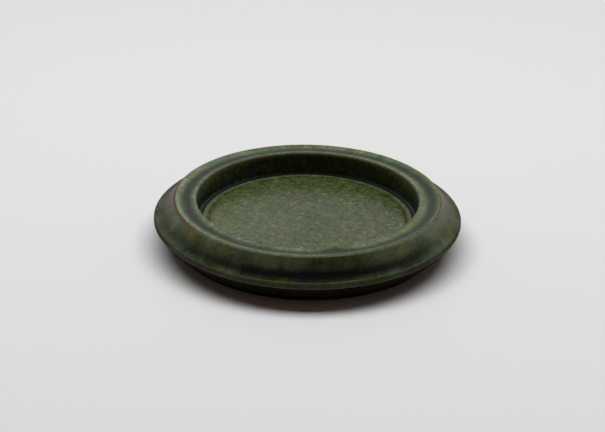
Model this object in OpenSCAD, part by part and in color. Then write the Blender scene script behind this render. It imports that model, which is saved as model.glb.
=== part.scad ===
// Shallow round ink dish: one turned and fired stoneware body, and the four fields of
// glaze on it. The glaze draws back from the three sharp edges, where bare clay shows.
// Millimetres, +Z up, origin at the middle of the foot, on the surface it stands on.

/* [Overall] */
// Outer diameter, across the lip
outer_d = 120; // [96:1:180]
// Height of the rim's outer edge above the table
height = 18.7; // [15:0.1:28]

/* [Ring] */
// Width of the rim's top, from the well's wall to the outer edge
rim_w = 8.7; // [6:0.1:14]
// How far the rim's top sags between its two edges
rim_sag = 0.6; // [0.2:0.05:0.9]
// How much lower the rim's inner edge is than its outer edge
inner_drop = 0.2; // [0:0.05:0.5]
// Width of the outer slope
slope_w = 4.4; // [3.5:0.1:6.5]
// Drop of the outer slope, from the rim to the hollow below it
slope_drop = 6; // [4.5:0.1:7.5]
// Width of the ledge, from the hollow to the lip's crest
ledge_w = 3.1; // [2.5:0.1:5]
// Drop of the ledge
ledge_drop = 1; // [0.7:0.1:1.5]
// How far the lip swells beyond its crest
lip_swell = 0.6; // [0.4:0.05:0.8]
// Height of the lip's upright face
lip_face = 1.2; // [0.9:0.1:2]
// Drop of the glaze below the upright face
wipe_drop = 0.7; // [0.5:0.05:0.9]

/* [Well] */
// Depth of the well's floor below the rim's outer edge
well_depth = 9.3; // [6:0.05:11]
// Width of the channel at the foot of the well's wall
channel_w = 1.5; // [1.5:0.1:3]
// Depth of the channel below the floor
channel_d = 0.45; // [0.2:0.05:0.7]
// Width of the bead inside the channel
bead_w = 1.6; // [1.4:0.1:2.6]
// Height of the bead above the floor
bead_h = 0.25; // [0.1:0.05:0.5]
// Width of the groove inside the bead
groove_w = 1.6; // [1.3:0.1:2.5]
// Depth of the groove below the floor
groove_d = 0.3; // [0.1:0.05:0.5]

/* [Foot] */
// How far the foot's outer edge is inside the widest point
foot_inset = 9; // [7:0.1:12]
// Width of the ring that touches the table
foot_w = 6.2; // [4:0.1:9]
// Depth of the hollow under the base
base_d = 3.2; // [1:0.1:3.8]
// How far the steep top of the undercut is set in
undercut_in = 2.7; // [2:0.1:3.5]
// Drop of the steep top of the undercut, from the end of the glaze
undercut_drop = 2.9; // [2.2:0.1:3.5]

/* [Glaze] */
// Glaze thickness on the floor
floor_glaze = 0.45; // [0.25:0.05:0.6]
// Glaze thickness in the groove
groove_glaze = 0.6; // [0.4:0.05:0.8]
// Glaze thickness over the bead
bead_glaze = 0.2; // [0.15:0.01:0.4]
// Glaze thickness pooled in the channel
channel_glaze = 0.9; // [0.4:0.05:1.1]
// Glaze thickness pooled along the middle of the rim
rim_pool = 0.8; // [0.3:0.05:1]
// Glaze thickness pooled in the hollow below the slope
slope_pool = 0.9; // [0.3:0.05:1.1]
// Glaze thickness on the lip's upright face
lip_coat = 0.35; // [0.2:0.05:0.45]
// Glaze thickness where a field of glaze ends
end_coat = 0.12; // [0.1:0.01:0.15]

/* [Rounding] */
// Radius of the rim's inner edge
edge_round = 0.8; // [0.5:0.05:1]
// Radius of the rim's outer edge
brow_round = 1.8; // [0.8:0.1:2]
// Radius of the lip's crest and of its upright face's ends
crest_round = 0.7; // [0.5:0.05:0.8]
// Radius of the bead and the groove
bead_round = 0.6; // [0.3:0.05:0.7]
// Radius of the pooled glaze at the foot of the wall
channel_round = 1.2; // [0.8:0.1:1.2]
// Radius of the rim's sag
sag_round = 18; // [6:1:20]
// Radius of the hollow below the slope
hollow_round = 5; // [2:0.5:6]
// Radius of the foot's edges and of the undercut
foot_round = 1; // [0.4:0.1:1.2]

/* [Hidden] */
// Chords in each rounded corner, an even number
chords = 8;

// Radii, from the lip inwards
lip_r = outer_d / 2;
crest_r = lip_r - lip_swell;
hollow_r = crest_r - ledge_w;
rim_r = hollow_r - slope_w;
well_r = rim_r - rim_w;
channel_r = well_r - channel_w;
bead_r = channel_r - bead_w / 2;
groove_r = bead_r - bead_w / 2 - groove_w / 2;
foot_r = lip_r - foot_inset;
foot_in_r = foot_r - foot_w;

// Heights, from the rim down
hollow_h = height - slope_drop;
crest_h = hollow_h - ledge_drop;
face_top_h = crest_h - lip_swell;
face_low_h = face_top_h - lip_face;
wipe_h = face_low_h - wipe_drop;
inner_h = height - inner_drop;
sag_h = inner_h - rim_sag;
floor_h = height - well_depth;
undercut_h = wipe_h - undercut_drop;

// The finished surface, from the middle of the floor to the glaze's end below the lip.
// A corner is [radius, height, rounding, glaze thickness].
finish = [
    [0, floor_h, 0, floor_glaze],
    [groove_r - groove_w, floor_h, bead_round, floor_glaze],
    [groove_r, floor_h - groove_d, bead_round, groove_glaze],
    [bead_r, floor_h + bead_h, bead_round, bead_glaze],
    [channel_r, floor_h - channel_d, bead_round, channel_glaze],
    [well_r, floor_h - channel_d, channel_round, channel_glaze],
    [well_r, inner_h, edge_round, end_coat],
    [(well_r + rim_r) / 2, sag_h, sag_round, rim_pool],
    [rim_r, height, brow_round, end_coat],
    [hollow_r, hollow_h, hollow_round, slope_pool],
    [crest_r, crest_h, crest_round, end_coat],
    [lip_r, face_top_h, crest_round, lip_coat],
    [lip_r, face_low_h, crest_round, lip_coat],
    [lip_r - lip_swell, wipe_h, 0, end_coat],
];
// Where bare clay shows: the corner, and how many chords each side of its middle are bare
inner_edge = [6, 1];
outer_edge = [8, 1];
lip_crest = [10, 2];

// The bare underside, from the glaze's end down to the middle of the base
underside = [
    [lip_r - lip_swell, wipe_h, 0],
    [lip_r - undercut_in, undercut_h, foot_round],
    [foot_r, 0, foot_round],
    [foot_in_r, 0, foot_round],
    [foot_in_r - base_d / 2, base_d, foot_round],
    [0, base_d, 0],
];

function flat(p) = [p[0], p[1]];
function unit(v) = v / norm(v);
function cross_z(a, b) = a[0] * b[1] - a[1] * b[0];
function part_of(path, first, last) = [for (i = [first:last]) path[i]];
function reversed(path) = [for (i = [len(path) - 1:-1:0]) path[i]];

// The rounded corner b, between its neighbours a and c
function arc_points(a, b, c) =
    let (
        u = unit(flat(b) - flat(a)),
        v = unit(flat(c) - flat(b)),
        side = sign(cross_z(u, v)),
        turn = acos(u * v),
        centre = flat(b) - u * b[2] * tan(turn / 2) + side * b[2] * [-u[1], u[0]],
        start = atan2(-side * u[0], side * u[1])
    )
    [for (k = [0:chords]) centre + b[2] * [
        cos(start + side * turn * k / chords),
        sin(start + side * turn * k / chords)
    ]];

// A path through all the corners, with the inner ones rounded
function rounded(corners) = [
    flat(corners[0]),
    for (i = [1:len(corners) - 2]) each arc_points(corners[i - 1], corners[i], corners[i + 1]),
    flat(corners[len(corners) - 1]),
];

// The glaze thickness at each point of that path
function thicknesses(corners) = [
    corners[0][3],
    for (i = [1:len(corners) - 2]) for (k = [0:chords]) corners[i][3],
    corners[len(corners) - 1][3],
];

// The direction into the clay at point i of a path
function inward(path, i) =
    let (t = unit(path[min(i + 1, len(path) - 1)] - path[max(i - 1, 0)])) [t[1], -t[0]];

surface = rounded(finish);
coat = thicknesses(finish);
clay = [for (i = [0:len(surface) - 1]) surface[i] + coat[i] * inward(surface, i)];

// Where the glaze stops before an edge, and where it starts again after it
function middle(edge) = 1 + (edge[0] - 1) * (chords + 1) + chords / 2;
function before(edge) = middle(edge) - edge[1];
function after(edge) = middle(edge) + edge[1];

// Each field's first and last point along the surface
well = [0, before(inner_edge)];
rim = [after(inner_edge), before(outer_edge)];
shoulder = [after(outer_edge), before(lip_crest)];
lip = [after(lip_crest), len(surface) - 1];

// The clay under a field of glaze, brought up to the surface at the field's outer end
function clay_under(f) = concat(part_of(clay, f[0], f[1]), [surface[f[1]]]);

module field_of_glaze(f) {
    rotate_extrude()
        polygon(concat(part_of(surface, f[0], f[1]), reversed(part_of(clay, f[0], f[1]))));
}

// Turned clay, from the hollow under the base to the rim
module stoneware_body() {
    top = concat(
        clay_under(well),
        [surface[rim[0]]], clay_under(rim),
        [surface[shoulder[0]]], clay_under(shoulder),
        [surface[lip[0]]], clay_under(lip)
    );
    base = rounded(underside);
    color("#4a3524")
        rotate_extrude()
            polygon(concat(top, part_of(base, 1, len(base) - 1)));
}

// Glaze on the floor, groove, bead, channel and wall of the well
module well_glaze() {
    color("#5a6b44") field_of_glaze(well);
}

// Glaze on the top of the ring, pooled along its middle
module rim_glaze() {
    color("#6a7a63") field_of_glaze(rim);
}

// Glaze on the outer slope, pooled in the hollow above the lip
module shoulder_glaze() {
    color("#44503a") field_of_glaze(shoulder);
}

// Glaze on the upright face of the lip
module lip_glaze() {
    color("#3b4128") field_of_glaze(lip);
}

stoneware_body();
well_glaze();
rim_glaze();
shoulder_glaze();
lip_glaze();
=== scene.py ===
from math import acos, atan2, cos, exp, hypot, pi, radians, sin, tan
import bpy
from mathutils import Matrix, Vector, kdtree, noise


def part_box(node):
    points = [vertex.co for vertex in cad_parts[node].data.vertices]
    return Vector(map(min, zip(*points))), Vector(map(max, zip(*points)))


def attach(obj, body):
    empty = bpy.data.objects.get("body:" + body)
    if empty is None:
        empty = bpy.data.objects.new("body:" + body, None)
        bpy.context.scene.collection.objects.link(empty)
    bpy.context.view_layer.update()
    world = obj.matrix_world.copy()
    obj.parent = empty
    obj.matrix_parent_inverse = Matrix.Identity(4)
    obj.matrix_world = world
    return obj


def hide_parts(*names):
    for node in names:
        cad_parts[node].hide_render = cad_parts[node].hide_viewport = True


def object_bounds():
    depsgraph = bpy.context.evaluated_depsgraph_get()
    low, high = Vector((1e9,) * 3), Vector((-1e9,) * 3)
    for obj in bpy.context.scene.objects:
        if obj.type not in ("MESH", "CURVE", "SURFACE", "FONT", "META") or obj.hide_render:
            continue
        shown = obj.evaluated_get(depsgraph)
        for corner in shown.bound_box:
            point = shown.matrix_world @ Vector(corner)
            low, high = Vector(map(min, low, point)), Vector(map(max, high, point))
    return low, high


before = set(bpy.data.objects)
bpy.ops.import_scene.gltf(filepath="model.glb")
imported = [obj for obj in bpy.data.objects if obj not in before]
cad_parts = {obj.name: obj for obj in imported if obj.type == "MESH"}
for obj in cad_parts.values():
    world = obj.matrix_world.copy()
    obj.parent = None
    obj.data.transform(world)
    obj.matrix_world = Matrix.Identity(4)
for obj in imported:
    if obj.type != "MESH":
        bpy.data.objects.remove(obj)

mm = 0.001
joinGap = 0.002 * mm  # points nearer to each other than this become one
cadLow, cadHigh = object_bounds()  # the box around the imported parts
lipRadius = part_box("lip_glaze")[1].x / mm
rimTop = cadHigh.z / mm

camera = {
    "lens": 100,  # millimetres
    "distance": 0.663,
    "elevation": 26.27,
    "roll": 0.91,
    "aim": (-0.00193, 0.0, 0.0100),
    "nearest": 0.01,
}


def addCamera(setup):
    up = radians(setup["elevation"])
    place = Vector((0, -cos(up), sin(up))) * setup["distance"]
    bpy.ops.object.camera_add(location=place)
    eye = bpy.context.object
    eye.name = "studioCamera"
    eye.data.lens = setup["lens"]
    eye.data.clip_start = setup["nearest"]
    eye.rotation_euler = (Vector(setup["aim"]) - place).to_track_quat("-Z", "Y").to_euler()
    eye.rotation_euler.rotate_axis("Z", radians(setup["roll"]))
    bpy.context.scene.camera = eye


addCamera(camera)
print("camera ready")

# The turned outline, in millimetres: radii hang from the lip and heights from the rim.
ring = {
    "edgeLoss": 0.176,  # what rounding takes off the rim's outer edge
    "rimWidth": 8.7,
    "rimSag": 0.6,
    "innerDrop": 0.2,
    "slopeWidth": 4.4,
    "slopeDrop": 6.0,
    "ledgeWidth": 3.1,
    "ledgeDrop": 1.0,
    "lipSwell": 0.6,
    "lipFace": 1.2,
    "wipeDrop": 0.7,
    "edgeRound": 0.8,
    "browRound": 1.8,
    "crestRound": 0.7,
    "sagRound": 18,
    "hollowRound": 5,
}
well = {
    "depth": 9.3,
    "channelWidth": 1.5,
    "channelDepth": 0.45,
    "channelRound": 1.2,
    "beadWidth": 1.6,
    "beadHeight": 0.25,
    "grooveWidth": 1.6,
    "grooveDepth": 0.3,
    "beadRound": 0.6,
}
foot = {
    "inset": 9.0,
    "width": 6.2,
    "baseDepth": 3.2,
    "undercutIn": 2.7,
    "undercutDrop": 2.9,
    "round": 1.0,
}
coat = {  # glaze thickness
    "floor": 0.45,
    "groove": 0.56,
    "bead": 0.22,
    "channel": 0.95,
    "rim": 0.8,
    "slope": 0.95,
    "lip": 0.55,
    "edge": 0.08,
}
chords = 8  # straight pieces in each rounded corner

crestRadius = lipRadius - ring["lipSwell"]
hollowRadius = crestRadius - ring["ledgeWidth"]
rimRadius = hollowRadius - ring["slopeWidth"]
wellRadius = rimRadius - ring["rimWidth"]
channelRadius = wellRadius - well["channelWidth"]
beadRadius = channelRadius - well["beadWidth"] / 2
grooveRadius = beadRadius - well["beadWidth"] / 2 - well["grooveWidth"] / 2
footRadius = lipRadius - foot["inset"]
footInner = footRadius - foot["width"]

rimHeight = rimTop + ring["edgeLoss"]
hollowHeight = rimHeight - ring["slopeDrop"]
crestHeight = hollowHeight - ring["ledgeDrop"]
faceTop = crestHeight - ring["lipSwell"]
faceLow = faceTop - ring["lipFace"]
wipeHeight = faceLow - ring["wipeDrop"]
innerHeight = rimHeight - ring["innerDrop"]
floorHeight = rimHeight - well["depth"]
bandRadius = (wellRadius + rimRadius) / 2

# corners of the finished surface: radius, height, rounding, glaze thickness
surfaceCorners = [
    (0, floorHeight, 0, coat["floor"]),
    (grooveRadius - well["grooveWidth"], floorHeight, well["beadRound"], coat["floor"]),
    (grooveRadius, floorHeight - well["grooveDepth"], well["beadRound"], coat["groove"]),
    (beadRadius, floorHeight + well["beadHeight"], well["beadRound"], coat["bead"]),
    (channelRadius, floorHeight - well["channelDepth"], well["beadRound"], coat["channel"]),
    (wellRadius, floorHeight - well["channelDepth"], well["channelRound"], coat["channel"]),
    (wellRadius, innerHeight, ring["edgeRound"], coat["edge"]),
    (bandRadius, innerHeight - ring["rimSag"], ring["sagRound"], coat["rim"]),
    (rimRadius, rimHeight, ring["browRound"], coat["edge"]),
    (hollowRadius, hollowHeight, ring["hollowRound"], coat["slope"]),
    (crestRadius, crestHeight, ring["crestRound"], coat["edge"]),
    (lipRadius, faceTop, ring["crestRound"], coat["lip"]),
    (lipRadius, faceLow, ring["crestRound"], coat["lip"]),
    (lipRadius - ring["lipSwell"], wipeHeight, 0, coat["edge"]),
]
# where the glaze breaks: the corner's place in that list, and the bare chords each side of its middle
innerEdge = (6, 1)
outerEdge = (8, 1)
lipCrest = (10, 2)

undersideCorners = [
    (lipRadius - ring["lipSwell"], wipeHeight, 0, 0),
    (lipRadius - foot["undercutIn"], wipeHeight - foot["undercutDrop"], foot["round"], 0),
    (footRadius, 0, foot["round"], 0),
    (footInner, 0, foot["round"], 0),
    (footInner - foot["baseDepth"] / 2, foot["baseDepth"], foot["round"], 0),
    (0, foot["baseDepth"], 0, 0),
]


def roundedCorner(before, corner, after):
    a, b, c = (Vector(p[:2]) for p in (before, corner, after))
    into, out = (b - a).normalized(), (c - b).normalized()
    side = 1 if into.cross(out) > 0 else -1
    turn = acos(into.dot(out))
    radius = corner[2]
    centre = b - into * radius * tan(turn / 2) + side * radius * Vector((-into.y, into.x))
    start = atan2(-side * into.x, side * into.y)
    angles = [start + side * turn * k / chords for k in range(chords + 1)]
    return [(centre.x + radius * cos(t), centre.y + radius * sin(t), corner[3]) for t in angles]


def roundedLine(corners):
    line = [(corners[0][0], corners[0][1], corners[0][3])]
    for i in range(1, len(corners) - 1):
        line += roundedCorner(corners[i - 1], corners[i], corners[i + 1])
    return line + [(corners[-1][0], corners[-1][1], corners[-1][3])]


def dividedLine(line, gap):
    fine = [line[0]]
    for a, b in zip(line, line[1:]):
        cuts = max(1, round(hypot(b[0] - a[0], b[1] - a[1]) / gap))
        fine += [tuple(a[k] + (b[k] - a[k]) * i / cuts for k in range(3)) for i in range(1, cuts + 1)]
    return fine


def wayAt(line, i):
    a, b = line[max(i - 1, 0)], line[min(i + 1, len(line) - 1)]
    return Vector((b[0] - a[0], b[1] - a[1])).normalized()


def sunkLine(line):
    # the clay's own line: every point moved into the clay by the glaze's thickness
    sunk = []
    for i, point in enumerate(line):
        way = wayAt(line, i)
        sunk.append((point[0] + way.y * point[2], point[1] - way.x * point[2], point[2]))
    if line[0][0] == 0:
        sunk[0] = (0, *sunk[0][1:])
    return sunk


def markedLine(line, top):
    # each point with its way along the line, and how far it is from the line's two ends
    reach = [0.0]
    for a, b in zip(line, line[1:]):
        reach.append(reach[-1] + hypot(b[0] - a[0], b[1] - a[1]))
    return [
        {
            "at": Vector((point[0], point[1])),
            "way": wayAt(line, i),
            "coat": point[2],
            "inner": reach[i],
            "outer": reach[-1] - reach[i],
            "top": top,
        }
        for i, point in enumerate(line)
    ]


def arcMiddle(edge):
    # the place along the whole line of the middle of a rounded corner
    return 1 + (edge[0] - 1) * (chords + 1) + chords // 2


def lastBefore(edge):
    return arcMiddle(edge) - edge[1]


def firstAfter(edge):
    return arcMiddle(edge) + edge[1]


wholeLine = roundedLine(surfaceCorners)


def joinDoubles():
    bpy.ops.mesh.select_all(action="SELECT")
    bpy.ops.mesh.remove_doubles(threshold=joinGap)


def latheOutline(name, outline, closed, steps):
    # draws the outline point by point on the half-plane, and turns it round the axis
    bpy.ops.object.select_all(action="DESELECT")
    bpy.ops.mesh.primitive_plane_add(size=mm, location=(0, 0, 0))
    piece = bpy.context.object
    piece.name = name
    piece.data.name = name
    bpy.ops.object.mode_set(mode="EDIT")
    bpy.ops.mesh.select_mode(type="VERT")
    bpy.ops.mesh.merge(type="CENTER")
    points = [Vector((mark["at"].x, 0, mark["at"].y)) * mm for mark in outline]
    bpy.ops.transform.translate(value=points[0])
    for here, there in zip(points, points[1:] + points[:1] if closed else points[1:]):
        bpy.ops.mesh.extrude_vertices_move(TRANSFORM_OT_translate={"value": there - here})
    joinDoubles()
    bpy.ops.object.mode_set(mode="OBJECT")
    turn = piece.modifiers.new("turn", "SCREW")
    turn.steps = steps
    turn.render_steps = steps
    turn.use_merge_vertices = True
    turn.merge_threshold = joinGap
    bpy.ops.object.modifier_apply(modifier=turn.name)
    bpy.ops.object.mode_set(mode="EDIT")
    joinDoubles()
    bpy.ops.mesh.normals_make_consistent(inside=False)
    bpy.ops.object.mode_set(mode="OBJECT")
    bpy.ops.object.shade_smooth()
    return piece


def outlinePlaces(piece, outline):
    # for each vertex, the outline's point that it was turned from
    tree = kdtree.KDTree(len(outline))
    for i, mark in enumerate(outline):
        tree.insert((mark["at"].x * mm, 0, mark["at"].y * mm), i)
    tree.balance()
    return [outline[tree.find((hypot(v.co.x, v.co.y), 0, v.co.z))[1]] for v in piece.data.vertices]


def clamped(value):
    return min(1.0, max(0.0, value))


def toShare(value):
    # from -1 to 1 becomes from 0 to 1
    return 0.5 + 0.5 * value


def roundNoise(angle, along, size, seed):
    # soft noise from -1 to 1 that runs on round the dish with no seam
    reach = bandRadius / size
    return noise.noise(Vector((cos(angle) * reach, sin(angle) * reach, along / size + seed)))


def lobes(angle, places):
    # adds up soft bumps round the dish: (degrees, half width in degrees, strength)
    total = 0.0
    for middle, width, strength in places:
        off = (angle - radians(middle) + pi) % (2 * pi) - pi
        total += strength * exp(-((off / radians(width)) ** 2))
    return total


def moveVertex(vertex, angle, move):
    # the move is outwards and upwards, in millimetres
    vertex.co += Vector((cos(angle) * move.x, sin(angle) * move.x, move.y)) * mm


def storeValues(piece, name, values):
    layer = piece.data.attributes.new(name, "FLOAT", "POINT")
    layer.data.foreach_set("value", values)


def keepFinish(piece, material, node):
    piece.data.materials.append(material)
    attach(piece, "root")
    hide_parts(node)


# how a field's ends waver: strength, size in millimetres, seed
innerWaves = ((1.0, 2.2, 3), (0.5, 0.8, 5))
outerWaves = ((1.0, 2.4, 7), (0.5, 0.8, 9))
ripple = {
    "rise": 0.3,  # how much the distance along the outline counts in the noise
    "apart": 40,  # keeps the swell's noise away from the peel's
    "runRise": 0.12,
    "runSeed": 21,
    "calmEnds": 0.7,
}


def endWaver(angle, waves):
    return sum(strength * roundNoise(angle, 0, size, seed) for strength, size, seed in waves)


def rippleLift(x, y, angle, mark, look):
    # the glaze's face never rises over its full height: this is how far it moves, at 0 or below
    rise = mark["inner"] * ripple["rise"]
    peel = noise.noise(Vector((x, y, rise)) / look["peelSize"])
    swell = noise.noise(Vector((x, y, rise + ripple["apart"])) / look["swellSize"])
    run = roundNoise(angle, mark["inner"] * ripple["runRise"], look["runSize"], ripple["runSeed"])
    return -look["peel"] * toShare(peel) - look["swell"] * toShare(swell) - look["run"] * toShare(run)


def dressGlaze(piece, marks, look):
    # makes the turned glaze uneven: its ends waver, its face ripples, and it runs down its slope
    inner, outer, depth = [], [], []
    for vertex, mark in zip(piece.data.vertices, outlinePlaces(piece, marks)):
        x, y = vertex.co.x / mm, vertex.co.y / mm
        angle = atan2(y, x)
        nearInner = max(0.0, 1 - mark["inner"] / look["waverReach"]) if look["innerEnd"] else 0.0
        nearOuter = max(0.0, 1 - mark["outer"] / look["waverReach"])
        waver = nearInner * endWaver(angle, innerWaves) + nearOuter * endWaver(angle, outerWaves)
        lift = 0.0
        if mark["top"]:
            calm = 1 - ripple["calmEnds"] * max(nearInner, nearOuter)
            lift = rippleLift(x, y, angle, mark, look) * calm
        way = mark["way"]
        moveVertex(vertex, angle, way * waver * look["waver"] + Vector((-way.y, way.x)) * lift)
        worn = look["worn"] + lobes(angle, look["innerRust"])
        inner.append(exp(-mark["inner"] / look["edgeReach"]) * worn)
        outer.append(exp(-mark["outer"] / look["edgeReach"]) * look["worn"])
        depth.append(look["depthAndShadeAt"](x, y, angle, mark))
    if look["innerEnd"]:
        storeValues(piece, "innerEdge", inner)
    storeValues(piece, "outerEdge", outer)
    storeValues(piece, "glazeDepthAndShade", depth)


def makeField(name, first, last, look):
    line = wholeLine[first : last + 1]
    marks = markedLine(dividedLine(line, look["gap"]), True) + markedLine(sunkLine(line), False)[::-1]
    piece = latheOutline(name, marks, line[0][0] > 0, look["steps"])
    dressGlaze(piece, marks, look)
    return piece


def addNode(tree, kind, values=None, **settings):
    node = tree.nodes.new("ShaderNode" + kind)
    for name, value in settings.items():
        setattr(node, name, value)
    for socket, value in (values or {}).items():
        if isinstance(value, bpy.types.NodeSocket):
            tree.links.new(value, node.inputs[socket])
        else:
            node.inputs[socket].default_value = value
    return node


def addMath(tree, operation, *values):
    node = addNode(tree, "Math", dict(enumerate(values)), operation=operation)
    return node.outputs[0]


def addRange(tree, value, start, stop, low=0.0, high=1.0, eased=False):
    # goes from low to high as the value goes from start to stop
    values = {"Value": value, "From Min": start, "From Max": stop, "To Min": low, "To Max": high}
    kind = "SMOOTHSTEP" if eased else "LINEAR"
    return addNode(tree, "MapRange", values, interpolation_type=kind).outputs[0]


def addRamp(tree, factor, stops):
    ramp = addNode(tree, "ValToRGB", {"Fac": factor})
    points = ramp.color_ramp.elements
    points[0].position = stops[0][0]
    points[0].color = (*stops[0][1], 1)
    points[1].position = stops[-1][0]
    points[1].color = (*stops[-1][1], 1)
    for position, colour in stops[1:-1]:
        point = points.new(position)
        point.color = (*colour, 1)
    return ramp.outputs["Color"]


def mixColours(tree, factor, first, second, blend="MIX"):
    mix = addNode(tree, "Mix", data_type="RGBA", blend_type=blend)
    for place, value in (("Factor_Float", factor), ("A_Color", first), ("B_Color", second)):
        socket = next(s for s in mix.inputs if s.identifier == place)
        if isinstance(value, bpy.types.NodeSocket):
            tree.links.new(value, socket)
        else:
            socket.default_value = value if place == "Factor_Float" else (*value, 1)
    return next(s for s in mix.outputs if s.identifier == "Result_Color")


def objectPlace(tree):
    return addNode(tree, "TexCoord").outputs["Object"]


def noiseScale(tree, size, share=1.0):
    # the size is a socket, in millimetres
    return addMath(tree, "DIVIDE", share / mm, size)


def newGroup(name, inputs, outputs):
    group = bpy.data.node_groups.new(name, "ShaderNodeTree")
    for socket, value in inputs.items():
        made = group.interface.new_socket(socket, in_out="INPUT", socket_type="NodeSocketFloat")
        made.default_value = value
    for socket in outputs:
        group.interface.new_socket(socket, in_out="OUTPUT", socket_type="NodeSocketFloat")
    return group, group.nodes.new("NodeGroupInput"), group.nodes.new("NodeGroupOutput")


mottle = {
    "patches": {"size": "Patch Size", "detail": 3.0, "twist": 0.3, "from": 0.32, "to": 0.68},
    "specks": {"size": "Speck Size", "detail": 2.0, "twist": 1.1, "from": 0.38, "to": 0.63},
    "curls": {"scale": 0.55, "detail": 1.0, "twist": 0.8, "thickness": 0.045},
}


def mottleGroup():
    # cloudy patches, fine light specks and thin light curls, sizes in millimetres
    sizes = {"Patch Size": 9.0, "Speck Size": 1.3}
    group, given, made = newGroup("glazeMottle", sizes, ("Patches", "Specks", "Curls"))
    place = objectPlace(group)
    spreads = {}
    for name in ("patches", "specks"):
        kind = mottle[name]
        scale = noiseScale(group, given.outputs[kind["size"]])
        values = {"Vector": place, "Scale": scale, "Detail": kind["detail"], "Distortion": kind["twist"]}
        cloud = addNode(group, "TexNoise", values)
        spreads[name] = addRange(group, cloud.outputs["Fac"], kind["from"], kind["to"])
    # a curl lies where its noise crosses the middle, and shows only where specks are
    kind = mottle["curls"]
    scale = noiseScale(group, given.outputs["Speck Size"], kind["scale"])
    values = {"Vector": place, "Scale": scale, "Detail": kind["detail"], "Distortion": kind["twist"]}
    cloud = addNode(group, "TexNoise", values)
    off = addMath(group, "ABSOLUTE", addMath(group, "SUBTRACT", cloud.outputs["Fac"], 0.5))
    thin = addRange(group, off, 0.0, kind["thickness"], 1.0, 0.0)
    group.links.new(spreads["patches"], made.inputs["Patches"])
    group.links.new(spreads["specks"], made.inputs["Specks"])
    group.links.new(addMath(group, "MULTIPLY", thin, spreads["specks"]), made.inputs["Curls"])
    return group


streaks = {"detail": 3.0, "roughness": 0.6, "from": 0.33, "to": 0.67}


def runsGroup():
    # streaks that follow the way the glaze ran, outwards and downwards from the middle
    group, given, made = newGroup("glazeRuns", {"Run Width": 1.2, "Run Length": 14.0}, ("Runs",))
    split = addNode(group, "SeparateXYZ", {0: objectPlace(group)})
    flat = addNode(group, "CombineXYZ", {"X": split.outputs["X"], "Y": split.outputs["Y"]})
    reach = addNode(group, "VectorMath", {0: flat.outputs[0]}, operation="LENGTH").outputs["Value"]
    turned = addNode(group, "VectorMath", {0: flat.outputs[0]}, operation="NORMALIZE").outputs["Vector"]
    along = addMath(group, "SUBTRACT", reach, split.outputs["Z"])
    long = addMath(group, "DIVIDE", addMath(group, "DIVIDE", along, mm), given.outputs["Run Length"])
    rise = addNode(group, "CombineXYZ", {"Z": long})
    wide = addMath(group, "DIVIDE", bandRadius, given.outputs["Run Width"])
    around = addNode(group, "VectorMath", {0: turned, "Scale": wide}, operation="SCALE").outputs["Vector"]
    spot = addNode(group, "VectorMath", {0: around, 1: rise.outputs[0]}, operation="ADD").outputs["Vector"]
    values = {"Vector": spot, "Scale": 1.0, "Detail": streaks["detail"], "Roughness": streaks["roughness"]}
    streak = addNode(group, "TexNoise", values)
    spread = addRange(group, streak.outputs["Fac"], streaks["from"], streaks["to"])
    group.links.new(spread, made.inputs["Runs"])
    return group


spotting = {
    "pull": 0.55,  # how much nearness to the edge counts
    "level": 1.1,  # what noise and nearness have to reach together when Amount is 0
    "lowered": 0.3,  # and how much lower that is when Amount is 1
    "soft": 0.12,
    "line": (0.25, 0.95),
    "detail": 3.0,
    "roughness": 0.65,
}


def brokenGroup():
    # where a sharp edge shows through: spots near the edge, and a line along it
    values = {"Edge": 0.0, "Spot Size": 1.0, "Amount": 0.5}
    group, given, made = newGroup("brokenEdge", values, ("Spots", "Line"))
    edge = given.outputs["Edge"]
    scale = noiseScale(group, given.outputs["Spot Size"])
    values = {"Vector": objectPlace(group), "Scale": scale, "Detail": spotting["detail"]}
    cloud = addNode(group, "TexNoise", {**values, "Roughness": spotting["roughness"]})
    lifted = addMath(group, "ADD", cloud.outputs["Fac"], addMath(group, "MULTIPLY", edge, spotting["pull"]))
    lowered = addMath(group, "MULTIPLY", given.outputs["Amount"], spotting["lowered"])
    level = addMath(group, "SUBTRACT", spotting["level"], lowered)
    start = addMath(group, "SUBTRACT", level, spotting["soft"])
    group.links.new(addRange(group, lifted, start, level, eased=True), made.inputs["Spots"])
    group.links.new(addRange(group, edge, *spotting["line"], eased=True), made.inputs["Line"])
    return group


skinKind = {"detail": 2.0, "grainShare": 0.25, "dullRange": (0.3, 0.7)}


def skinGroup():
    # the fired skin: orange peel with finer grain on it as a height, and how dull each place is
    sizes = {"Peel Size": 0.9, "Grain Size": 0.25}
    group, given, made = newGroup("firedSkin", sizes, ("Height", "Dullness"))
    place = objectPlace(group)
    clouds = []
    for size in sizes:
        scale = noiseScale(group, given.outputs[size])
        values = {"Vector": place, "Scale": scale, "Detail": skinKind["detail"]}
        clouds.append(addNode(group, "TexNoise", values).outputs["Fac"])
    peel, grain = clouds
    grains = addMath(group, "MULTIPLY", grain, skinKind["grainShare"])
    group.links.new(addMath(group, "ADD", peel, grains), made.inputs["Height"])
    group.links.new(addRange(group, peel, *skinKind["dullRange"]), made.inputs["Dullness"])
    return group


groups = {
    "mottle": mottleGroup(),
    "runs": runsGroup(),
    "broken": brokenGroup(),
    "skin": skinGroup(),
}


def addGroup(tree, name, values):
    return addNode(tree, "Group", values, node_tree=groups[name])


def readValue(tree, name):
    return addNode(tree, "Attribute", attribute_name=name).outputs["Fac"]


def newMaterial(name):
    material = bpy.data.materials.new(name)
    material.use_nodes = True
    return material, material.node_tree, material.node_tree.nodes["Principled BSDF"]


def addMottle(tree, finish):
    return addGroup(tree, "mottle", {"Patch Size": finish["patchSize"], "Speck Size": finish["speckSize"]})


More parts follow.
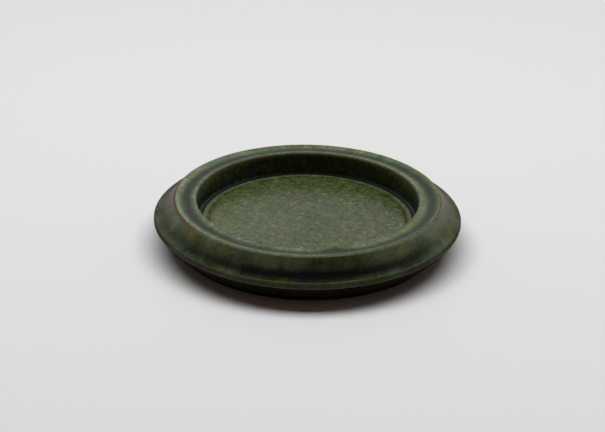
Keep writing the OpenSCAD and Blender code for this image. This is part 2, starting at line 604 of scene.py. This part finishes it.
def addSkin(tree, shader, finish, dullness=None):
    # gloss, roughness and small bumps; the skin's own dullness counts unless another is given
    skin = addGroup(tree, "skin", {"Peel Size": finish["peelSize"], "Grain Size": finish["grainSize"]})
    dull = skin.outputs["Dullness"] if dullness is None else dullness
    rough = addRange(tree, dull, 0.0, 1.0, *finish["roughness"])
    values = {"Height": skin.outputs["Height"], "Strength": 1.0, "Distance": finish["bump"] * mm}
    bump = addNode(tree, "Bump", values)
    tree.links.new(rough, shader.inputs["Roughness"])
    tree.links.new(bump.outputs[0], shader.inputs["Normal"])
    shader.inputs["Specular IOR Level"].default_value = finish["gloss"]


def pushedDepth(tree, depth, mask, middle, strength):
    # deeper where the mask is over its middle, or thinner if the strength is below 0
    off = addMath(tree, "SUBTRACT", mask, middle)
    return addMath(tree, "ADD", depth, addMath(tree, "MULTIPLY", off, strength))


def glazeMaterial(name, finish):
    # the colour follows the glaze's depth, which in places also carries painted shade, in a plain and a warm
    # set of colours
    material, tree, shader = newMaterial(name)
    cloud = addMottle(tree, finish)
    runs = addGroup(tree, "runs", {"Run Width": finish["runWidth"], "Run Length": finish["runLength"]})
    runny = addMath(tree, "MULTIPLY", readValue(tree, "runny"), finish["runDepth"])
    depth = readValue(tree, "glazeDepthAndShade")
    depth = pushedDepth(tree, depth, cloud.outputs["Patches"], 0.5, finish["patchDepth"])
    depth = pushedDepth(tree, depth, runs.outputs["Runs"], 0.5, runny)
    depth = pushedDepth(tree, depth, cloud.outputs["Specks"], 0.5, -finish["speckDepth"])
    depth = pushedDepth(tree, depth, cloud.outputs["Curls"], 0.0, -finish["curlDepth"])

    scale = 1 / (finish["warmSize"] * mm)
    warmth = addNode(tree, "TexNoise", {"Vector": objectPlace(tree), "Scale": scale})
    start, stop = finish["warmRange"]
    warm = addRange(tree, warmth.outputs["Fac"], start, stop, 0.0, finish["warmth"], eased=True)
    plain = addRamp(tree, depth, finish["colours"])
    colour = mixColours(tree, warm, plain, addRamp(tree, depth, finish["warmColours"]))

    for value, edge in finish["edges"].items():
        values = {"Edge": readValue(tree, value), "Spot Size": edge["spotSize"], "Amount": edge["amount"]}
        broken = addGroup(tree, "broken", values)
        thin = addMath(tree, "MULTIPLY", broken.outputs["Line"], edge["lineShare"])
        colour = mixColours(tree, thin, colour, edge["line"])
        colour = mixColours(tree, broken.outputs["Spots"], colour, finish["rust"])
    tree.links.new(colour, shader.inputs["Base Color"])
    addSkin(tree, shader, finish)
    return material


def clayMaterial(finish):
    # bare clay outside, its dark brown darkened nearly to black as painted shade under the dish, and a thin
    # worn skin of glaze on the edges that break through
    material, tree, shader = newMaterial("bareClay")
    cloud = addMottle(tree, finish)
    specks = addMath(tree, "MULTIPLY", cloud.outputs["Specks"], finish["speckShare"])
    body = mixColours(tree, specks, addRamp(tree, cloud.outputs["Patches"], finish["body"]), finish["speck"])
    scale = 1 / (finish["rubSize"] * mm)
    rub = addNode(tree, "TexNoise", {"Vector": objectPlace(tree), "Scale": scale, "Detail": 3.0})
    rusty = addMath(tree, "MULTIPLY", readValue(tree, "rust"), finish["rustShare"])
    edge = addRamp(tree, addMath(tree, "SUBTRACT", rub.outputs["Fac"], rusty), finish["edge"])
    thin = readValue(tree, "thinGlaze")
    tree.links.new(mixColours(tree, thin, body, edge), shader.inputs["Base Color"])
    addSkin(tree, shader, finish, thin)
    return material


print("finishes ready")

plainLook = {
    "waver": 0.12,
    "waverReach": 1.2,
    "edgeReach": 0.5,
    "innerEnd": True,
    "worn": 0.45,
    "innerRust": [],
}
glazeSkin = {
    "patchSize": 9.0,
    "speckSize": 1.6,
    "runWidth": 1.0,
    "runLength": 16.0,
    "warmSize": 14.0,
    "warmRange": (0.42, 0.62),
    "peelSize": 1.5,
    "grainSize": 0.4,
    "bump": 0.05,
    "roughness": (0.22, 0.34),
    "gloss": 0.5,
    "curlDepth": 0.04,
    "rust": (0.088, 0.057, 0.032),
}
# where the edges are rusty: degrees, half width in degrees, strength
rimEdgeRust = [(170, 26, 1.1), (208, 16, 0.6), (348, 20, 0.4), (95, 25, 0.25)]
wellBackRust = [(148, 28, 0.5), (32, 28, 0.5)]  # on the clay's edge only
wellFrontRust = [(325, 14, 0.8), (245, 38, 0.65)]

wellPool = {
    "channel": 1.3,
    "fromBead": 0.7,  # the channel's pool starts this far outside the bead's crest
    "fromWall": 0.3,  # and ends this far inside the wall
    "wall": 0.16,
    # the wall's extra depth at the back darkens it: painted shade
    "wallBack": [(86, 50, 0.36)],
    "wallReach": 1.0,
    "edgeReach": 1.5,
    "thinner": [(190, 50, 0.08)],
    "most": 0.8,
}


def wellDepthAndShade(x, y, angle, mark):
    # deepest in the channel, and deeper on the wall at the back than at the sides: painted shade on the back
    # wall, which faces away from the light
    radius = mark["at"].x
    if beadRadius + wellPool["fromBead"] < radius < wellRadius - wellPool["fromWall"]:
        return wellPool["channel"]
    onWall = clamped((radius - wellRadius) / wellPool["wallReach"] + 1.0)
    wallDepthAndShade = wellPool["wall"] + lobes(angle, wellPool["wallBack"])
    fromEdge = min(1.0, mark["outer"] / wellPool["edgeReach"])
    depth = mark["coat"] + onWall * wallDepthAndShade * fromEdge - lobes(angle, wellPool["thinner"])
    return min(wellPool["most"], depth)


wellLook = {
    **plainLook,
    "worn": 0.85,
    "innerEnd": False,
    "gap": 0.5,
    "steps": 480,
    "peel": 0.07,
    "peelSize": 1.5,
    "swell": 0.06,
    "swellSize": 5.0,
    "run": 0.03,
    "runSize": 1.6,
    "depthAndShadeAt": wellDepthAndShade,
}
wellFinish = {
    **glazeSkin,
    "patchDepth": 0.06,
    "runDepth": 0.12,
    "speckDepth": 0.24,
    "speckSize": 2.0,
    "curlDepth": 0.32,
    "warmth": 0.32,
    "colours": [
        (0.05, (0.12, 0.13, 0.07)),
        (0.25, (0.075, 0.10, 0.035)),
        (0.45, (0.042, 0.064, 0.020)),
        (0.62, (0.022, 0.036, 0.010)),
        (0.80, (0.007, 0.010, 0.005)),
        (0.90, (0.004, 0.006, 0.005)),
        (0.98, (0.014, 0.020, 0.024)),
    ],
    "warmColours": [
        (0.05, (0.14, 0.12, 0.06)),
        (0.45, (0.050, 0.062, 0.018)),
        (0.62, (0.026, 0.034, 0.010)),
        (0.80, (0.009, 0.008, 0.003)),
        (0.90, (0.005, 0.005, 0.003)),
        (0.98, (0.012, 0.018, 0.021)),
    ],
    "edges": {
        "outerEdge": {"spotSize": 1.1, "amount": 0.9, "line": (0.06, 0.05, 0.02), "lineShare": 0.5},
    },
}

band = {
    "off": (0.75, -1.15),  # its centre: millimetres to the right and to the back
    "out": 0.18,
    "oval": 0.08,
    "bends": [(-77, 6, 1.3)],
    "halfWidth": 1.15,
    "blots": [(-77, 5, 1.2), (178, 55, 0.7), (-5, 45, 0.6), (-100, 30, 0.2)],
    "waves": ((0.35, 7, 31), (0.25, 1.5, 33)),  # strength, size, seed
    "soft": 1.6,
    "deep": 0.78,
    "thin": 0.18,
    "thinner": [(182, 40, 0.12)],
}


def rimDepth(x, y, angle, mark):
    # glaze pools along a band that runs a little off the ring's middle
    reach = hypot(x - band["off"][0], y - band["off"][1]) - bandRadius
    reach -= band["out"] + band["oval"] * cos(2 * angle) - lobes(angle, band["bends"])
    half = band["halfWidth"] + lobes(angle, band["blots"])
    half += endWaver(angle, band["waves"])
    share = clamped((half + band["soft"] - abs(reach)) / (2 * band["soft"]))
    share = share * share * (3 - 2 * share)  # soft at both ends
    thin = band["thin"] - lobes(angle, band["thinner"])
    return thin + (band["deep"] - thin) * share


rimLook = {
    **plainLook,
    "innerRust": wellFrontRust,
    "edgeReach": 1.1,
    "gap": 0.3,
    "steps": 720,
    "peel": 0.02,
    "peelSize": 1.5,
    "swell": 0.05,
    "swellSize": 6.0,
    "run": 0.02,
    "runSize": 1.2,
    "depthAndShadeAt": rimDepth,
}
rimFinish = {
    **glazeSkin,
    "gloss": 0.22,
    "roughness": (0.30, 0.42),
    "patchDepth": 0.14,
    "runDepth": 0.15,
    "speckDepth": 0.14,
    "warmth": 0.5,
    "colours": [
        (0.02, (0.18, 0.21, 0.13)),
        (0.11, (0.12, 0.15, 0.09)),
        (0.25, (0.070, 0.098, 0.040)),
        (0.45, (0.040, 0.062, 0.026)),
        (0.65, (0.018, 0.029, 0.018)),
        (0.88, (0.008, 0.016, 0.012)),
    ],
    "warmColours": [
        (0.08, (0.14, 0.14, 0.06)),
        (0.25, (0.085, 0.100, 0.030)),
        (0.50, (0.036, 0.046, 0.018)),
        (0.88, (0.008, 0.012, 0.010)),
    ],
    "edges": {
        "innerEdge": {"spotSize": 1.3, "amount": 0.8, "line": (0.11, 0.10, 0.06), "lineShare": 0.4},
        "outerEdge": {"spotSize": 1.2, "amount": 0.0, "line": (0.16, 0.17, 0.11), "lineShare": 0.6},
    },
}

drape = {
    "cloudCoarse": (0.7, 6, 41),  # strength, size, seed
    "cloudFine": (0.3, 1.8, 43),
    "fineRise": 0.3,
    # the front, which faces away from the light, is made deeper and darker as painted shade: degrees, half
    # width in degrees, strength
    "front": [(-86, 44, 1.0)],
    "slope": 0.10,
    "slopeFront": 0.38,
    # the slope is made thinner and lighter at the right front and at the left: painted light
    "slopeLighterSides": [(-18, 34, 0.14), (195, 30, 0.05)],
    "gain": 0.06,  # per millimetre down the slope
    "gainLeast": 0.4,
    "gainFrontLoss": 0.6,
    "cloudy": 0.13,
    "deep": 0.50,
    "deepFront": 0.62,
    "deepThinner": [(-12, 32, 0.24)],
    "deepCloudy": 0.15,
    "poolUp": 0.3,  # how far the pool's middle is above the slope's foot
    "poolHalf": 1.7,
    "lip": 0.1,
    "lipReach": 0.8,
}


def shoulderDepthAndShade(x, y, angle, mark):
    # thin at the rim's edge, cloudy down the slope, deep in the hollow, thin again at the lip; deeper and
    # darker at the front as painted shade, and lighter at the right front and the left as painted light
    down = mark["inner"]
    poolAt = hypot(ring["slopeWidth"], ring["slopeDrop"]) - drape["poolUp"]
    pool = exp(-(((down - poolAt) / drape["poolHalf"]) ** 2))
    strength, size, seed = drape["cloudCoarse"]
    cloud = strength * toShare(roundNoise(angle, down, size, seed))
    strength, size, seed = drape["cloudFine"]
    cloud += strength * toShare(roundNoise(angle, down * drape["fineRise"], size, seed))
    # at the front the slope starts deeper and gains less on its way down: painted shade
    front = lobes(angle, drape["front"])
    slope = drape["slope"] + drape["slopeFront"] * front - lobes(angle, drape["slopeLighterSides"])
    slope += drape["gain"] * down * (drape["gainLeast"] + cloud) * (1 - drape["gainFrontLoss"] * front)
    slope += drape["cloudy"] * (cloud - 0.5)
    # the pool is deepest at the front, and the lip is left unthinned there: painted shade
    deep = drape["deep"] + drape["deepFront"] * front - lobes(angle, drape["deepThinner"])
    pool *= 1 - drape["deepCloudy"] * (1 - cloud)
    thinLip = drape["lip"] * (1 - front) * exp(-mark["outer"] / drape["lipReach"])
    return slope + (deep - slope) * pool - thinLip


shoulderLook = {
    **plainLook,
    "innerRust": rimEdgeRust,
    "worn": 0.15,
    "edgeReach": 1.2,
    "gap": 0.3,
    "steps": 720,
    "peel": 0.02,
    "peelSize": 1.6,
    "swell": 0.08,
    "swellSize": 7.0,
    "run": 0.05,
    "runSize": 2.0,
    "depthAndShadeAt": shoulderDepthAndShade,
}
shoulderFinish = {
    **glazeSkin,
    "gloss": 0.22,
    "roughness": (0.42, 0.55),
    "patchDepth": 0.24,
    "runDepth": 0.04,
    "speckDepth": 0.10,
    "warmth": 0.7,
    "colours": [
        (0.06, (0.105, 0.125, 0.075)),
        (0.32, (0.056, 0.070, 0.036)),
        (0.50, (0.032, 0.043, 0.021)),
        (0.70, (0.010, 0.015, 0.009)),
        (0.92, (0.003, 0.004, 0.004)),
    ],
    "warmColours": [
        (0.10, (0.10, 0.085, 0.036)),
        (0.32, (0.060, 0.056, 0.018)),
        (0.50, (0.036, 0.036, 0.011)),
        (0.70, (0.014, 0.014, 0.005)),
        (0.92, (0.003, 0.004, 0.003)),
    ],
    "edges": {
        "innerEdge": {"spotSize": 1.6, "amount": 0.9, "line": (0.09, 0.07, 0.03), "lineShare": 0.3},
        "outerEdge": {"spotSize": 1.2, "amount": 0.4, "line": (0.06, 0.05, 0.012), "lineShare": 0.6},
    },
}

lipPool = {
    "depth": 0.54,
    "thicker": [(205, 30, 0.16), (335, 30, 0.10)],
    "cloud": (0.1, 5, 51),  # strength, size, seed
    "crest": 0.25,
    "crestReach": 0.5,
}


def lipDepth(x, y, angle, mark):
    # thin at the crest, and thickest left and right of the front
    strength, size, seed = lipPool["cloud"]
    depth = lipPool["depth"] + lobes(angle, lipPool["thicker"])
    depth += strength * roundNoise(angle, mark["inner"], size, seed)
    return depth - lipPool["crest"] * exp(-mark["inner"] / lipPool["crestReach"])


lipLook = {
    **plainLook,
    "gap": 0.3,
    "steps": 720,
    "peel": 0.015,
    "peelSize": 1.5,
    "swell": 0.04,
    "swellSize": 6.0,
    "run": 0.02,
    "runSize": 1.8,
    "depthAndShadeAt": lipDepth,
}
lipFinish = {
    **shoulderFinish,
    "roughness": (0.5, 0.65),
    "gloss": 0.12,
    "warmth": 1.0,
    "patchDepth": 0.16,
    "edges": {
        "innerEdge": {"spotSize": 1.2, "amount": 0.5, "line": (0.06, 0.05, 0.012), "lineShare": 0.5},
        "outerEdge": {"spotSize": 1.2, "amount": 0.6, "line": (0.03, 0.02, 0.012), "lineShare": 0.8},
    },
}

# each field's first and last point along the whole line, its shape, its colours and its node
fields = {
    "wellGlaze": (0, lastBefore(innerEdge), wellLook, wellFinish, "well_glaze"),
    "rimGlaze": (firstAfter(innerEdge), lastBefore(outerEdge), rimLook, rimFinish, "rim_glaze"),
    "shoulderGlaze": (
        firstAfter(outerEdge),
        lastBefore(lipCrest),
        shoulderLook,
        shoulderFinish,
        "shoulder_glaze",
    ),
    "lipGlaze": (firstAfter(lipCrest), len(wholeLine) - 1, lipLook, lipFinish, "lip_glaze"),
}
runsFrom, runsFull = 28, 36  # radii between which the streaks set in


def runShares(piece):
    reaches = [hypot(vertex.co.x, vertex.co.y) / mm for vertex in piece.data.vertices]
    return [clamped((reach - runsFrom) / (runsFull - runsFrom)) for reach in reaches]


for name, (first, last, look, finish, node) in fields.items():
    piece = makeField(name, first, last, look)
    storeValues(piece, "runny", runShares(piece))
    keepFinish(piece, glazeMaterial(name + "Finish", finish), node)
    print(name, "ready", len(piece.data.polygons))

clayLook = {
    "gap": 0.8,
    "steps": 360,
    "rings": 0.05,
    "ringSize": 1.1,
    "ringWobble": (20, 61),  # size, seed
    "swell": 0.05,
    "swellSize": 8.0,
    "edgeReach": 1.5,
}
clayFinish = {
    "patchSize": 12.0,
    "speckSize": 0.8,
    "speckShare": 0.35,
    "rubSize": 1.4,
    "rustShare": 0.3,
    "peelSize": 0.8,
    "grainSize": 0.25,
    "bump": 0.04,
    "roughness": (0.85, 0.45),
    "gloss": 0.03,
    # the clay's dark brown, darkened nearly to black: painted shade on the undercut, foot and base
    "body": [(0.2, (0.005, 0.003, 0.002)), (0.8, (0.013, 0.007, 0.004))],
    "speck": (0.024, 0.015, 0.009),
    "edge": [
        (0.28, (0.078, 0.051, 0.030)),
        (0.38, (0.09, 0.078, 0.046)),
        (0.50, (0.13, 0.14, 0.095)),
    ],
}


def turnedLift(x, y, angle, mark, look):
    # turning rings and a soft swell, none of it at the glaze's end
    wobble = roundNoise(angle, mark["inner"], *look["ringWobble"])
    turned = sin(2 * pi * mark["inner"] / look["ringSize"] + wobble)
    swell = noise.noise(Vector((x, y, mark["inner"])) / look["swellSize"])
    lift = look["rings"] * toShare(turned) + look["swell"] * toShare(swell)
    return lift * min(1.0, mark["inner"] / look["edgeReach"])


def makeClay(look):
    under = dividedLine(roundedLine(undersideCorners), look["gap"])[1:]
    marks = markedLine(sunkLine(wholeLine), True) + markedLine(under, False)
    clay = latheOutline("stonewareBody", marks, False, look["steps"])
    thin, rusty = [], []
    for vertex, mark in zip(clay.data.vertices, outlinePlaces(clay, marks)):
        x, y = vertex.co.x / mm, vertex.co.y / mm
        angle = atan2(y, x)
        thin.append(1.0 if mark["top"] else 0.0)
        rusty.append(lobes(angle, rimEdgeRust if mark["at"].x > bandRadius else wellBackRust + wellFrontRust))
        if not mark["top"]:
            way = mark["way"]
            moveVertex(vertex, angle, Vector((way.y, -way.x)) * turnedLift(x, y, angle, mark, look))
    storeValues(clay, "thinGlaze", thin)
    storeValues(clay, "rust", rusty)
    return clay


keepFinish(makeClay(clayLook), clayMaterial(clayFinish), "stoneware_body")
print("clay ready")

studio = {
    "floorSize": 6.0,
    "floorColour": (0.675, 0.682, 0.688),
    "floorRoughness": 0.9,
    "boxElevation": 79.5,
    "boxDistance": 1.0,
    "boxSize": (1.5, 0.6),
    "boxPower": 14.2,
    # the light from all round: warm at the front, and grey that grows to the back and to each side
    "front": (0.058, 0.029, 0.013),
    "frontRange": (0.4, -0.4),
    "toBack": [(-0.3, 0.0), (0.46, 0.02), (0.74, 0.42), (0.9, 0.60), (1.0, 0.64)],
    "toRight": [(-1.0, 0.17), (-0.7, 0.06), (-0.4, 0.0), (0.4, 0.0), (0.7, 0.08), (1.0, 0.20)],
}


def greyRamp(tree, value, stops):
    # stops run from -1 to 1
    half = addMath(tree, "MULTIPLY_ADD", value, 0.5, 0.5)
    return addRamp(tree, half, [((position + 1) / 2, (grey, grey, grey)) for position, grey in stops])


def makeStudio(setup):
    bpy.ops.object.select_all(action="DESELECT")
    bpy.ops.mesh.primitive_plane_add(size=setup["floorSize"])
    ground = bpy.context.object
    ground.name = "studioFloor"
    material, tree, shader = newMaterial("paleFloor")
    shader.inputs["Base Color"].default_value = (*setup["floorColour"], 1)
    shader.inputs["Roughness"].default_value = setup["floorRoughness"]
    ground.data.materials.append(material)

    up = radians(setup["boxElevation"])
    place = Vector((0, cos(up), sin(up))) * setup["boxDistance"]
    bpy.ops.object.light_add(type="AREA", location=place)
    box = bpy.context.object
    box.name = "softbox"
    box.data.shape = "RECTANGLE"
    box.data.size = setup["boxSize"][0]
    box.data.size_y = setup["boxSize"][1]
    box.data.energy = setup["boxPower"]
    box.rotation_euler = (-place).to_track_quat("-Z", "Y").to_euler()
    box.visible_glossy = False

    world = bpy.data.worlds.new("studioWorld")
    bpy.context.scene.world = world
    world.use_nodes = True
    tree = world.node_tree
    look = addNode(tree, "SeparateXYZ", {0: addNode(tree, "TexCoord").outputs["Generated"]})
    back = greyRamp(tree, look.outputs["Y"], setup["toBack"])
    side = greyRamp(tree, look.outputs["X"], setup["toRight"])
    forward = addRange(tree, look.outputs["Y"], *setup["frontRange"])
    warm = mixColours(tree, forward, (0.0, 0.0, 0.0), setup["front"])
    glow = mixColours(tree, 1.0, mixColours(tree, 1.0, back, side, "ADD"), warm, "ADD")
    tree.links.new(glow, tree.nodes["Background"].inputs["Color"])


makeStudio(studio)
bpy.context.scene.view_settings.view_transform = "Standard"
print("studio ready")
